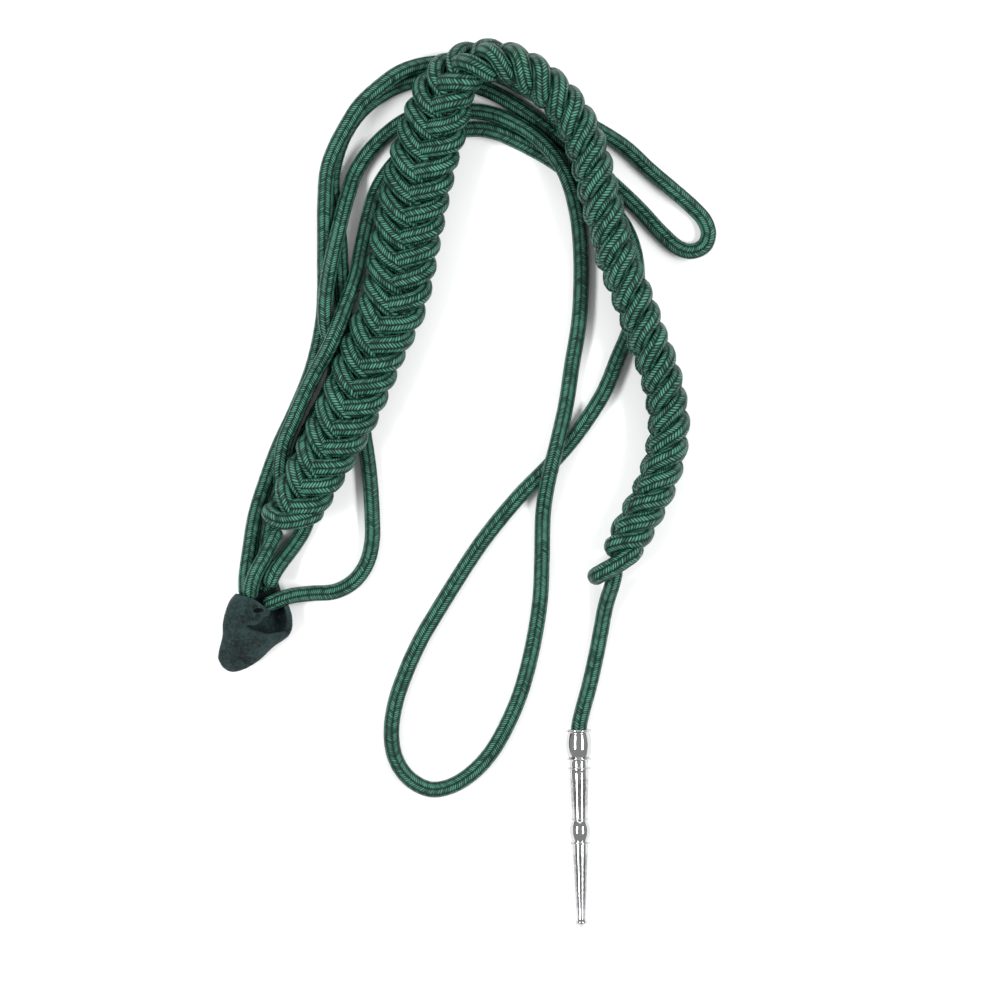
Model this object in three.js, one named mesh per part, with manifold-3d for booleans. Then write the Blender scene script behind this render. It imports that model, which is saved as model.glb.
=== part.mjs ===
import * as THREE from 'three';
import { mergeVertices } from 'three/addons/utils/BufferGeometryUtils.js';
import Module from 'manifold-3d';

// Aiguillette lying on the floor: a chain of cord, two plain loops, a felt tab and a metal tip.
// Millimetres, Z up.

const wasm = await Module();
wasm.setup();

// Driving sizes
const cordDiameter = 5.8;
const plaitWidth = 25;
const plaitThickness = 15;
const stitchPitch = 8.5;
const tipLength = 75;
const tipWidth = 9.9;
const socketDepth = 6;
const tabLength = 31.5;
const tabWidth = 26.5;
const tabHeight = 16.4;
const feltWall = 1.8;

// Clearances
const gap = 0.3;
const boreGap = 0.6;
const floorGap = 0.2;

// Closeness of the mesh: points welded, and flat facets merged
const weld = 0.0001;
const smoothing = 0.2;

// Facets
const cordSides = 8;
const strandSides = 5;
const coreSides = 12;
const turnedSides = 20;
const tabSides = 22;

const cordRadius = cordDiameter / 2;
const overCords = floorGap + cordDiameter + gap;

// Routes of the plain cords: x, y and height of points on the cord's middle line, chosen by hand
const smallLoopRoute = [
  [-78, -42.4, 5.6], [-78.3, -35.2, 5.3], [-76.9, -23.9, 3.1], [-74.7, -10.6, 3.1], [-70.3, 3.4, 3.1],
  [-65.8, 15.5, 3.1], [-60.1, 27.7, 3.1], [-54, 42.4, 3.1], [-51, 53.1, 3.1], [-49.1, 64.1, 3.1],
  [-48.5, 75, 3.1], [-48.5, 85.3, 4.7], [-48.5, 94.8, 6.4], [-48.4, 106.9, 8.7], [-47.4, 120.1, 9.5],
  [-44.6, 128.2, 9.5], [-40.4, 136.2, 9.5], [-35.4, 144.1, 9.5], [-27.8, 151.3, 9.3], [-20.4, 156.7, 7.7],
  [-12.1, 159.7, 4.9], [-2.7, 160.6, 3.1], [9.5, 158.6, 3.1], [20.8, 154.4, 3.1], [33, 147.6, 3.1],
  [48.1, 139.1, 3.1], [64.5, 129.1, 3.1], [74.7, 119.8, 3.1], [90.6, 106.1, 3.1], [95.3, 100.8, 3.1],
  [96.8, 95.9, 3.1], [95.1, 91.3, 3.1], [90.6, 89.3, 3.1], [85.7, 90.4, 3.1], [79.2, 95.9, 3.1],
  [69.9, 105.9, 3.1], [55.7, 119, 3.1], [41.7, 130.8, 3.1], [31.1, 139.5, 3.1], [17.8, 148, 3.1],
  [9.5, 151.6, 3.1], [0.8, 154.1, 3.1], [-8.7, 154.4, 3.1], [-18.4, 152.7, 3.1], [-27.4, 148.4, 3.1],
  [-35.1, 142.1, 3.1], [-41.1, 133.4, 3.1], [-44.5, 123.9, 3.1], [-45.9, 114.5, 3.1], [-44.5, 104.2, 3.1],
  [-43, 93.6, 3.1], [-42.3, 80.3, 3.1], [-41.1, 65.2, 3.1], [-38.5, 48.9, 3.1], [-35.2, 28.4, 3.1],
  [-31.8, 6.4, 3.1], [-30.6, -10.6, 3.1], [-30.7, -21.2, 3.1], [-33, -29.6, 3.1], [-37.9, -36, 3.1],
  [-44.7, -39.6, 3.1], [-53.4, -40.3, 3.7], [-61.4, -41.3, 6.7], [-66.7, -43, 9.1], [-71.8, -45.5, 8.6],
];
const bigLoopRoute = [
  [-71.8, -39.8, 5.3], [-71.7, -36.1, 5.2], [-71.2, -27.7, 3.2], [-69.1, -15.5, 3.1], [-66.4, -4.9, 3.1],
  [-65, -0.5, 3.4], [-65.1, 3.2, 6.3], [-65.2, 7.2, 8.4], [-63.7, 17.1, 9.2], [-59.9, 26.2, 9.3], [-55.7, 36, 9.4],
  [-51.7, 44, 9.8], [-48.5, 49.6, 12.6], [-45.7, 55.3, 14.5], [-43.2, 61.4, 13.7], [-41.3, 66.7, 11],
  [-38.8, 73.1, 9.2], [-36.1, 81.9, 5.1], [-34.9, 88.7, 3.1], [-31.5, 103.8, 3.1], [-29, 111.8, 3.1],
  [-25.5, 118.1, 3.1], [-20.8, 123.9, 3.1], [-15.2, 128.5, 3.1], [-7.2, 132.7, 3.1], [1.5, 134.9, 3.1],
  [10, 135.6, 3.1], [16.8, 134.2, 3.1], [23.2, 131.5, 3.1], [35.7, 124.9, 3.1], [42.8, 120.1, 3.1],
  [49.3, 115.2, 3.1], [55.3, 109.7, 3.1], [60.6, 104.6, 3.1], [64.6, 99.3, 3.1], [67.7, 92.5, 3.1],
  [69.5, 84.1, 3.1], [69.4, 69.7, 3.1], [66.9, 59.5, 3.1], [62.5, 48.9, 3.1], [57.6, 36.8, 3.1],
  [51.9, 27.3, 3.1], [44.7, 17.4, 3.1], [36, 7.6, 3.1], [26.2, -2.3, 3.1], [17.1, -12.9, 3.1],
  [9.1, -23.5, 3.1], [-6.1, -47.4, 3.1], [-12.5, -58.4, 3.1], [-17.8, -70.1, 3.1], [-21.8, -81.9, 3.1],
  [-23.3, -92.9, 3.1], [-21.8, -102.7, 3.1], [-16.7, -110.3, 3.1], [-8.7, -114.5, 3.1], [-0.8, -113.3, 3.1],
  [7.2, -108.4, 3.1], [14, -101.2, 3.1], [19.7, -91.7, 3.1], [25.4, -78.5, 3.1], [29.9, -61.8, 3.1],
  [33, -42.8, 3.1], [33.7, -27.7, 3.1], [34.1, -10.6, 3.3], [35.4, -0.8, 7], [37.5, 8.7, 9.7],
  [40, 18.6, 8.5], [42.8, 31.1, 3.6], [45.1, 46.2, 3.1], [47.6, 61.4, 3.1], [48.5, 74.7, 3.1],
  [48.5, 87.9, 3.1], [47.6, 99.7, 3.1], [45.9, 108.8, 3.6], [44.2, 114.5, 8], [42.1, 119.6, 9.6],
  [39, 124.7, 9.7], [35.1, 129.2, 9.4], [29.9, 133.8, 7.7], [23.1, 137.9, 5.8], [15.5, 141.1, 3.2],
  [8, 142.4, 3.1], [-1.1, 142.7, 3.1], [-11, 141.6, 3.1], [-18.9, 138.3, 3.1], [-27.3, 131.7, 3.1],
  [-33.4, 124.9, 3.1], [-37.5, 117.9, 3.1], [-39.8, 110.7, 6.2], [-41.6, 104.2, 9.2], [-43.4, 96.6, 10.6],
  [-46, 85.3, 10.9], [-47.8, 74.7, 9.7], [-48.3, 65.2, 9.6], [-47.6, 59.1, 9.1], [-45.7, 53.8, 6.7],
  [-44.6, 48.5, 3.6], [-44.9, 42.4, 3.1], [-48.1, 34.1, 3.1], [-52.7, 25.4, 3.1], [-56.5, 17.1, 3.1],
  [-58.7, 9.5, 3.1], [-58.9, 3.4, 3.1], [-57.4, -1.9, 3.1], [-55.5, -7.2, 3.1], [-55.2, -11.5, 3.1],
  [-56.8, -16.6, 3.1], [-60.6, -22.6, 3.7], [-64.8, -28.2, 6.9], [-68, -33.2, 10.4], [-69.8, -38.2, 11.4],
];
const startCordRoute = [
  [-76.4, -42.7, 11.4], [-76.4, -38.9, 11.4], [-75, -33.6, 11.1], [-71.6, -27.2, 9.8],
  [-68.5, -21.2, 9.5], [-65.9, -15.4, 9.6],
];
const tipCordRoute = [
  [61.9, -30, 12.5], [60.4, -36.5, 10.8], [58.6, -42.2, 6.8], [57.3, -47.5, 4], [56.4, -52.5, 3.1],
  [54.4, -63, 3.1], [51.6, -75.5, 3.1], [49.2, -84.2, 4], [47.8, -90.5, 4.9], [47.7, -96.6, 4.8],
];

// Chain: x, y, roll of its front to the left of the way it runs, share of the width, share of the lift
const plaitTable = [
  [-62.3, -13, 22, 0.81, 1.1], [-53.2, 3.2, 22, 0.82, 1.2], [-46.2, 16.1, 22, 0.9, 1],
  [-38.3, 31.8, 22, 0.95, 1], [-29.2, 53.8, 22, 0.97, 1], [-22.2, 69.7, 22, 1.02, 1],
  [-17.7, 93.6, 22, 1.08, 1], [-13.8, 112.6, 22, 1.08, 1], [-9.9, 127.7, 24, 1.06, 1],
  [-6.3, 138.7, 28, 1.05, 1], [-3, 149.5, 42, 1, 1], [3.5, 157.2, 62, 0.97, 1],
  [12.2, 160.5, 78, 0.95, 1], [20.8, 159.8, 86, 0.97, 1], [28.8, 156, 90, 1, 1],
  [35.2, 151.2, 90, 1, 1], [41.3, 145, 90, 1, 1], [45.9, 138.3, 90, 1, 1],
  [49.3, 131.1, 90, 1, 1], [51.7, 123.9, 90, 1, 1], [55.5, 108.8, 90, 1, 1],
  [58.7, 97.4, 90, 1, 1], [61.4, 87.2, 90, 1, 1], [65, 78.1, 90, 1, 1],
  [69.7, 66.3, 90, 0.98, 1], [73.5, 55.3, 90, 0.96, 1], [76.6, 47.4, 90, 0.94, 0.75],
  [79.2, 38.7, 90, 0.92, 0.35], [80.9, 29.9, 90, 0.9, 0.1], [81.5, 21.6, 90, 0.9, 0],
  [80.3, 13.3, 90, 0.9, 0], [77.7, 3.8, 90, 0.9, 0], [74.5, -3.8, 90, 0.9, 0],
  [70.8, -10.7, 90, 0.9, 0], [67, -17.8, 90, 0.9, 0], [62.9, -24.6, 90, 0.9, 0],
];

// Strands: shares across the width, toward the front and along the chain in pitches
const stitchArm = [
  [0.1, 0.5, -0.2], [-0.42, 0.95, 0.15], [-1, 0.65, 0.6], [-1, -0.3, 1.05], [-0.3, -0.9, 1.45],
];
const lastLoopArm = [
  [-0.1, 0.6, -0.3], [-0.6, 0.95, 0.1], [-1, 0.7, 0.6], [-1, 0.2, 1.2], [-0.75, -0.35, 1.7],
];
const lastLoopBight = [0, -0.5, 1.95];
const coreShare = 0.8;
const firstBand = [
  [0.35, -0.9, 0.9], [0.9, -0.5, 0.95], [1.05, 0.15, 0.8], [0.65, 0.9, 0.3], [0, 1.05, -0.1],
  [-0.65, 0.9, -0.15], [-1.05, 0.2, 0], [-0.9, -0.6, 0.4], [-0.35, -0.9, 0.7],
];

// Tip: share of the length from the flange, share of half the flange's width
const tipProfile = [
  [0, 1], [0.012, 1], [0.016, 0.8], [0.05, 0.91], [0.08, 0.95], [0.11, 0.91], [0.14, 0.8],
  [0.144, 0.92], [0.154, 0.92], [0.158, 0.69], [0.188, 0.69], [0.192, 0.88], [0.202, 0.88],
  [0.206, 0.72], [0.448, 0.577], [0.451, 0.67], [0.459, 0.67], [0.463, 0.6], [0.515, 0.777],
  [0.565, 0.6], [0.569, 0.75], [0.581, 0.75], [0.585, 0.585], [0.944, 0.32], [0.956, 0.4],
  [0.97, 0.44], [0.984, 0.3], [1, 0],
];
const restingRing = 20;
const tipStart = [47.6, -91.8];
const tipHeading = [1.06, -75];

// Felt tab: shares of its width and length from its far corner to each side's point, and of its height
const tabCorner = [-87.5, -70];
const tabTable = [
  [0.28, 1.01, 0.83, 1.11, 1], [0.11, 0.85, 0.95, 0.82, 1], [0.02, 0.62, 1.01, 0.63, 0.95],
  [0.01, 0.44, 0.97, 0.45, 0.78], [-0.04, 0.26, 0.74, 0.3, 0.6], [-0.05, 0.15, 0.52, 0.13, 0.42],
  [0.05, 0.03, 0.24, 0.02, 0.27],
];
const entryCut = [
  [-0.1, 1.3], [-0.1, 0.9], [0.23, 0.9], [0.27, 0.95], [0.4, 0.9], [0.5, 0.84], [0.64, 0.73],
  [0.68, 0.64], [0.78, 0.62], [0.98, 0.72], [1.3, 0.85], [1.3, 1.4],
];
const mouthCut = [
  [0.65, 0.73], [0.57, 0.63], [0.44, 0.59], [0.35, 0.55], [0.39, 0.47], [0.57, 0.43], [0.77, 0.41],
  [1.12, 0.45], [1.12, 0.86], [0.9, 0.79],
];
const wallShare = 0.55;
const squareness = 0.7;
const flatness = 1.08;

// A route whose steps fall on its own points
class RouteLine extends THREE.CatmullRomCurve3 {
  getPointAt(share, target) {
    return this.getPoint(share, target);
  }
  getTangentAt(share, target) {
    return this.getTangent(share, target);
  }
}

function round(radius, sides) {
  const shape = new THREE.Shape();
  for (let k = 0; k < sides; k += 1) {
    const angle = (2 * Math.PI * k) / sides;
    const x = radius * Math.cos(angle);
    const y = radius * Math.sin(angle);
    if (k === 0) shape.moveTo(x, y);
    else shape.lineTo(x, y);
  }
  shape.closePath();
  return shape;
}

function tube(points, sides) {
  const line = new RouteLine(points, false, 'centripetal');
  return new THREE.ExtrudeGeometry(round(cordRadius, sides), {
    steps: points.length - 1,
    bevelEnabled: false,
    extrudePath: line,
  });
}

function cord(route) {
  return tube(route.map((p) => new THREE.Vector3(...p)), cordSides);
}

function toSolid(geometry) {
  const plain = geometry.clone();
  plain.deleteAttribute('normal');
  plain.deleteAttribute('uv');
  const welded = mergeVertices(plain, weld);
  const vertProperties = new Float32Array(welded.attributes.position.array);
  const triVerts = new Uint32Array(welded.index.array);
  return new wasm.Manifold(new wasm.Mesh({ numProp: 3, vertProperties, triVerts }));
}

function toGeometry(solid) {
  const mesh = solid.getMesh();
  const geometry = new THREE.BufferGeometry();
  geometry.setAttribute('position', new THREE.BufferAttribute(new Float32Array(mesh.vertProperties), 3));
  geometry.setIndex(new THREE.BufferAttribute(new Uint32Array(mesh.triVerts), 1));
  geometry.computeVertexNormals();
  return geometry;
}

// Chain
const acrossReach = (plaitWidth - cordDiameter) / 2;
const frontReach = (plaitThickness - cordDiameter) / 2;

function mirrored(strand) {
  return strand.map(([across, front, along]) => [-across, front, along]);
}

// How far the lowest strand reaches below the middle line at a given roll
function restHeight(roll, widthShare) {
  const drops = stitchArm.flatMap(([across, front]) => [across, -across].map((side) => (
    -Math.cos(roll) * front * frontReach - Math.sin(roll) * side * acrossReach * widthShare
  )));
  return cordRadius + Math.max(...drops);
}

const plaitPoints = plaitTable.map(([x, y, roll, width, lift]) => {
  const rise = restHeight(THREE.MathUtils.degToRad(roll), width);
  return new THREE.Vector3(x, y, rise + lift * overCords);
});
const plaitLine = new THREE.CatmullRomCurve3(plaitPoints, false, 'centripetal');
plaitLine.arcLengthDivisions = 1000;
const plaitLength = plaitLine.getLength();
const stitchCount = Math.round(plaitLength / stitchPitch);
const pitch = plaitLength / stitchCount;

function tableAt(share, column) {
  const place = share * (plaitTable.length - 1);
  const row = Math.min(Math.floor(place), plaitTable.length - 2);
  return THREE.MathUtils.lerp(plaitTable[row][column], plaitTable[row + 1][column], place - row);
}

function chainPoint(stitch, [across, front, along]) {
  const distance = (stitch + along) * pitch;
  const inside = THREE.MathUtils.clamp(distance / plaitLength, 0, 1);
  const share = plaitLine.getUtoTmapping(inside);
  const heading = plaitLine.getTangent(share);
  const point = plaitLine.getPoint(share).addScaledVector(heading, distance - inside * plaitLength);
  const roll = THREE.MathUtils.degToRad(tableAt(share, 2));
  const left = new THREE.Vector3(-heading.y, heading.x, 0).normalize();
  const up = new THREE.Vector3(0, 0, 1);
  const frontWay = up.clone().multiplyScalar(Math.cos(roll)).addScaledVector(left, Math.sin(roll));
  const acrossWay = up.clone().multiplyScalar(Math.sin(roll)).addScaledVector(left, -Math.cos(roll));
  point.addScaledVector(acrossWay, across * acrossReach * tableAt(share, 3));
  return point.addScaledVector(frontWay, front * frontReach);
}

// The inside of the chain, where the strands press on one another
function makeCore() {
  const corners = [];
  for (let k = 0; k < stitchCount; k += 1) {
    for (let side = 0; side < coreSides; side += 1) {
      const angle = (-2 * Math.PI * side) / coreSides;
      const across = (Math.cos(angle) * coreShare * plaitWidth) / 2 / acrossReach;
      const front = (Math.sin(angle) * coreShare * plaitThickness) / 2 / frontReach;
      corners.push(chainPoint(k + 0.5, [across, front, 0]));
    }
  }
  return meshSolid(loft(corners, coreSides));
}

function makePlait() {
  const strands = [firstBand.map((row) => chainPoint(0, row))];
  for (let k = 0; k < stitchCount - 1; k += 1) {
    for (const arm of [stitchArm, mirrored(stitchArm)]) {
      strands.push(arm.map((row) => chainPoint(k + 0.5, row)));
    }
  }
  const lastLoop = [...lastLoopArm, lastLoopBight, ...mirrored(lastLoopArm).reverse()];
  strands.push(lastLoop.map((row) => chainPoint(stitchCount - 0.5, row)));
  const bodies = strands.map((points) => toSolid(tube(points, strandSides)));
  return wasm.Manifold.union([makeCore(), ...bodies]).asOriginal().simplify(smoothing);
}

// Turned tip, its socket open at the flange
function makeTip() {
  const flange = tipWidth / 2;
  const bore = cordRadius + boreGap;
  const profile = [new THREE.Vector2(0, socketDepth), new THREE.Vector2(bore, socketDepth), new THREE.Vector2(bore, 0)];
  for (const [along, out] of tipProfile) {
    profile.push(new THREE.Vector2(out * flange, along * tipLength));
  }
  return new THREE.LatheGeometry(profile, turnedSides);
}

// The tip rests on its flange and one of its rings
function tipTilt() {
  const [ringAlong, ringOut] = tipProfile[restingRing];
  const [flangeAlong, flangeOut] = tipProfile[1];
  const drop = ((flangeOut - ringOut) * tipWidth) / 2;
  return Math.atan2(drop, (ringAlong - flangeAlong) * tipLength);
}

// Closed rings from the tab's table, drawn in by an inset and run on past the ends by a reach
function tabBody(inset, reach) {
  const at = (across, along) => new THREE.Vector3(tabCorner[0] + across * tabWidth, tabCorner[1] + along * tabLength, 0);
  const corners = [];
  tabTable.forEach(([leftAcross, leftAlong, rightAcross, rightAlong, heightShare], row) => {
    const left = at(leftAcross, leftAlong);
    const right = at(rightAcross, rightAlong);
    const middle = left.clone().add(right).multiplyScalar(0.5);
    const way = right.clone().sub(left).normalize();
    const along = new THREE.Vector3(-way.y, way.x, 0);
    const half = left.distanceTo(right) / 2 - inset;
    const tall = (tabHeight * heightShare) / 2;
    const runOn = row === 0 ? reach : 0;
    const drawnIn = row === tabTable.length - 1 ? inset : 0;
    middle.addScaledVector(along, runOn + drawnIn);
    for (let k = 0; k < tabSides; k += 1) {
      const angle = (2 * Math.PI * k) / tabSides;
      const side = Math.sign(Math.cos(angle)) * Math.abs(Math.cos(angle)) ** squareness;
      const up = Math.sign(Math.sin(angle)) * Math.min(1, flatness * Math.abs(Math.sin(angle)) ** squareness);
      const corner = middle.clone().addScaledVector(way, half * side);
      corner.z = tall + (tall - inset) * up;
      corners.push(corner);
    }
  });
  return corners;
}

function loft(corners, sides) {
  const rings = corners.length / sides;
  const faces = [];
  for (let ring = 0; ring < rings - 1; ring += 1) {
    for (let k = 0; k < sides; k += 1) {
      const a = ring * sides + k;
      const b = ring * sides + ((k + 1) % sides);
      faces.push(a, b, a + sides, b, b + sides, a + sides);
    }
  }
  const lastRing = (rings - 1) * sides;
  for (let k = 1; k < sides - 1; k += 1) {
    faces.push(0, k + 1, k);
    faces.push(lastRing, lastRing + k, lastRing + k + 1);
  }
  const geometry = new THREE.BufferGeometry().setFromPoints(corners);
  geometry.setIndex(faces);
  return geometry;
}

function meshSolid(geometry) {
  const vertProperties = new Float32Array(geometry.attributes.position.array);
  const triVerts = new Uint32Array(geometry.index.array);
  return new wasm.Manifold(new wasm.Mesh({ numProp: 3, vertProperties, triVerts }));
}

function cutter(outline, floor) {
  const points = outline.map(([across, along]) => new THREE.Vector2(
    tabCorner[0] + across * tabWidth,
    tabCorner[1] + along * tabLength,
  ));
  const block = new THREE.ExtrudeGeometry(new THREE.Shape(points), { depth: 2 * tabHeight, bevelEnabled: false });
  return toSolid(block.translate(0, 0, floor));
}

function makeTab() {
  return meshSolid(loft(tabBody(0, 0), tabSides))
    .subtract(meshSolid(loft(tabBody(feltWall, 2 * feltWall), tabSides)))
    .subtract(cutter(entryCut, feltWall + 2 * gap))
    .subtract(cutter(mouthCut, tabHeight * wallShare));
}

// Materials
const cordGreen = { color: 0x174232, roughness: 0.55, metalness: 0 };
const feltGreen = { color: 0x1c3b3c, roughness: 0.95, metalness: 0 };
const brightMetal = { color: 0xc9ccce, roughness: 0.22, metalness: 1 };

function piece(name, geometry, look) {
  const mesh = new THREE.Mesh(geometry, new THREE.MeshStandardMaterial(look));
  mesh.name = name;
  return mesh;
}

const plait = piece('plait', toGeometry(makePlait()), cordGreen);
const feltTab = piece('felt_tab', toGeometry(makeTab()), feltGreen);
const metalTip = piece('metal_tip', makeTip(), brightMetal);

// The lathe turns about Y: Y is laid along the tip's heading, nose down by the tilt
const tilt = tipTilt();
const level = new THREE.Vector3(tipHeading[0], tipHeading[1], 0).normalize();
const nose = level.clone().multiplyScalar(Math.cos(tilt));
nose.z = -Math.sin(tilt);
metalTip.quaternion.setFromUnitVectors(new THREE.Vector3(0, 1, 0), nose);
metalTip.position.set(tipStart[0], tipStart[1], 0);

const assembly = new THREE.Group();
assembly.add(plait, feltTab, metalTip);
assembly.add(piece('plait_start_cord', cord(startCordRoute), cordGreen));
assembly.add(piece('tip_cord', cord(tipCordRoute), cordGreen));
assembly.add(piece('small_loop_cord', cord(smallLoopRoute), cordGreen));
assembly.add(piece('big_loop_cord', cord(bigLoopRoute), cordGreen));

// The tip is let down onto the floor, and the origin goes to the middle of the stiff pieces
metalTip.updateMatrixWorld(true);
metalTip.position.z -= new THREE.Box3().setFromObject(metalTip, true).min.z;
const stiff = new THREE.Box3();
for (const part of [plait, feltTab, metalTip]) {
  part.updateMatrixWorld(true);
  stiff.union(new THREE.Box3().setFromObject(part, true));
}
const middle = stiff.getCenter(new THREE.Vector3());
assembly.position.set(-middle.x, -middle.y, -stiff.min.z);

const group = new THREE.Group();
group.add(assembly);
export default group;
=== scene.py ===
import bpy
import numpy as np
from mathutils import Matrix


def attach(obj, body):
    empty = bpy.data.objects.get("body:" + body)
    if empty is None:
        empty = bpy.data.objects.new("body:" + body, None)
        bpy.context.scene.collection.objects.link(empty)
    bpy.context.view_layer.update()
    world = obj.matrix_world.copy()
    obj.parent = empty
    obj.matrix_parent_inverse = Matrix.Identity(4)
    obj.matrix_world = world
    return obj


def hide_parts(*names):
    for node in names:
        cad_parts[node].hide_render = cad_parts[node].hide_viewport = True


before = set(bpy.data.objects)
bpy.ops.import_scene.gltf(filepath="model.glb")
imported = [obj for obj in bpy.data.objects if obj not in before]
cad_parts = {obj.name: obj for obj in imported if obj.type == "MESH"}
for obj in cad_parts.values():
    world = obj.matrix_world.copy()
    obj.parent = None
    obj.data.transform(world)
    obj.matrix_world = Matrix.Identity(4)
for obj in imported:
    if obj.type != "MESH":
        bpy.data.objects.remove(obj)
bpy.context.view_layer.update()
print("CAD frame loaded")

mm = 0.001
tiny = 1e-9  # keeps a division away from zero
floorGap = 0.02  # millimetres that cords and tip are kept above the floor
routeShift = np.array([0.357, -0.731, 0.0])  # from the routes' own zero to the part's origin, in millimetres

# Camera: straight above, as far off as a long lens
photo = {
    "pixelMm": 0.379,
    "middle": (17.81, -4.93),  # the picture's middle on the floor, in the routes' millimetres
    "pixels": 1000,
    "distance": 6.0,  # metres
    "sensor": 36.0,
}
camera = bpy.data.objects.new("camera", bpy.data.cameras.new("camera"))
camera.data.sensor_width = photo["sensor"]
camera.data.lens = photo["sensor"] * photo["distance"] / (photo["pixelMm"] * mm * photo["pixels"])
lookedAt = (np.array(photo["middle"]) + routeShift[:2]) * mm
camera.location = (*lookedAt, photo["distance"])
bpy.context.collection.objects.link(camera)
bpy.context.scene.camera = camera
print("camera set")


def summed(steps):
    # Running total that starts at nothing
    return np.concatenate([[0], np.cumsum(steps)])


def dot(first, second):
    return np.sum(first * second, axis=1, keepdims=True)


def smoothLine(points, step, between=16):
    # Centripetal Catmull-Rom line: between two points a cubic whose end slopes come from the point before
    # and the point after, each weighted by the root of its distance; then re-spaced evenly by length.
    points = np.asarray(points, float)
    ends = np.vstack([2 * points[0] - points[1], points, 2 * points[-1] - points[-2]])
    a, b, c, d = ends[:-3], ends[1:-2], ends[2:-1], ends[3:]
    gaps = [np.sqrt(np.linalg.norm(q - p, axis=1))[:, None] for p, q in ((a, b), (b, c), (c, d))]
    before, here, after = [np.maximum(gap, tiny) for gap in gaps]
    slopeB = ((b - a) / before - (c - a) / (before + here) + (c - b) / here) * here
    slopeC = ((c - b) / here - (d - b) / (here + after) + (d - c) / after) * here
    t = np.linspace(0, 1, between, endpoint=False)[None, :, None]
    b, c, slopeB, slopeC = [x[:, None, :] for x in (b, c, slopeB, slopeC)]
    second, third = 3 * (c - b) - 2 * slopeB - slopeC, 2 * (b - c) + slopeB + slopeC
    fine = b + slopeB * t + second * t**2 + third * t**3
    fine = np.vstack([fine.reshape(-1, points.shape[1]), points[-1:]])
    run = summed(np.linalg.norm(np.diff(fine[:, :3], axis=0), axis=1))
    even = np.linspace(0, run[-1], max(int(round(run[-1] / step)), 2) + 1)
    return np.column_stack([np.interp(even, run, fine[:, k]) for k in range(points.shape[1])]), even


def steadyFrames(line):
    # Directions across a line that don't twist: any direction across is taken at each step, the one before is
    # mirrored on to it twice, and the angles between the two are summed and taken out.
    way = np.gradient(line, axis=0)
    way /= np.linalg.norm(way, axis=1, keepdims=True)
    steep = 0.8  # share of the way upward from which X is taken in place of up
    spare = np.where(np.abs(way[:, 2:]) < steep, [[0.0, 0.0, 1.0]], [[1.0, 0.0, 0.0]])
    side = np.cross(way, spare)
    side /= np.linalg.norm(side, axis=1, keepdims=True)
    top = np.cross(side, way)
    chord = np.diff(line, axis=0)
    size = dot(chord, chord)
    sideL = side[:-1] - 2 * dot(chord, side[:-1]) / size * chord
    wayL = way[:-1] - 2 * dot(chord, way[:-1]) / size * chord
    turn = way[1:] - wayL
    moved = sideL - 2 * dot(turn, sideL) / np.maximum(dot(turn, turn), tiny) * turn
    angle = summed(np.arctan2(dot(moved, top[1:]), dot(moved, side[1:])))[:, None]
    return side * np.cos(angle) + top * np.sin(angle), top * np.cos(angle) - side * np.sin(angle)


def makePiece(name, points, faces, material, uv=None):
    # A mesh from whole arrays: points in millimetres, faces by their corners' numbers, one UV pair a corner
    mesh = bpy.data.meshes.new(name)
    mesh.from_pydata((np.asarray(points) * mm).tolist(), [], [f for block in faces for f in block.tolist()])
    mesh.polygons.foreach_set("use_smooth", np.ones(len(mesh.polygons), bool))
    if uv is not None:
        layer = mesh.uv_layers.new(name="weave")
        layer.data.foreach_set("uv", np.asarray(uv, np.float32).ravel())
    mesh.materials.append(material)
    mesh.update()
    piece = bpy.data.objects.new(name, mesh)
    bpy.context.collection.objects.link(piece)
    return piece


def roundSkin(line, radius, sides):
    # A circle of the cord's radius carried along its line, drawn in to a half round at both ends
    across, over = steadyFrames(line)
    angle = np.linspace(0, 2 * np.pi, sides, endpoint=False)[None, :, None]
    run = summed(np.linalg.norm(np.diff(line, axis=0), axis=1))
    endShare = 0.01  # how far in from the end the outermost circle counts, so that it has some width
    inward = np.clip(np.minimum(run, run[-1] - run) / radius, endShare, 1)
    reach = radius * np.sqrt(1 - (1 - inward) ** 2)[:, None, None]
    return line[:, None] + reach * (np.cos(angle) * across[:, None] + np.sin(angle) * over[:, None])


def ringGrid(rings, sides):
    # For every face between two rings: its ring, its spot on the ring, and its first ring's two points
    ring, spot = np.meshgrid(np.arange(rings - 1), np.arange(sides), indexing="ij")
    return ring, spot, ring * sides + spot, ring * sides + (spot + 1) % sides


def closedSkin(skin, run):
    # Rings of points joined up and closed on their middles at both ends.
    # UV: share of the way round, millimetres along.
    rings, sides = skin.shape[:2]
    ring, spot, here, beside = ringGrid(rings, sides)
    quads = np.stack([here, here + sides, beside + sides, beside], -1)
    uvQuads = np.stack([
        np.stack([spot, spot, spot + 1, spot + 1], -1) / sides,
        np.stack([run[ring], run[ring + 1], run[ring + 1], run[ring]], -1),
    ], -1)
    rim = np.arange(sides)
    caps = [(rim, rings * sides, 1, run[0]), (rim + (rings - 1) * sides, rings * sides + 1, -1, run[-1])]
    fans, uvFans = [], []
    for edge, hub, turn, at in caps:
        following = np.roll(edge, -1)
        fans.append(np.stack([edge, following, np.full(sides, hub)][::turn], -1))
        uvFans.append(np.stack([np.tile(rim[:, None] / sides, (1, 3)), np.full((sides, 3), at)], -1))
    points = np.vstack([skin.reshape(-1, 3), skin[:1].mean(axis=1), skin[-1:].mean(axis=1)])
    uv = np.vstack([uvQuads.reshape(-1, 2), uvFans[0].reshape(-1, 2), uvFans[1].reshape(-1, 2)])
    return points, [quads.reshape(-1, 4), *fans], uv


def joined(first, second):
    # Two skins as one list of points, faces and UV pairs
    faces = first[1] + [block + len(first[0]) for block in second[1]]
    return np.vstack([first[0], second[0]]), faces, np.vstack([first[2], second[2]])


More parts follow.
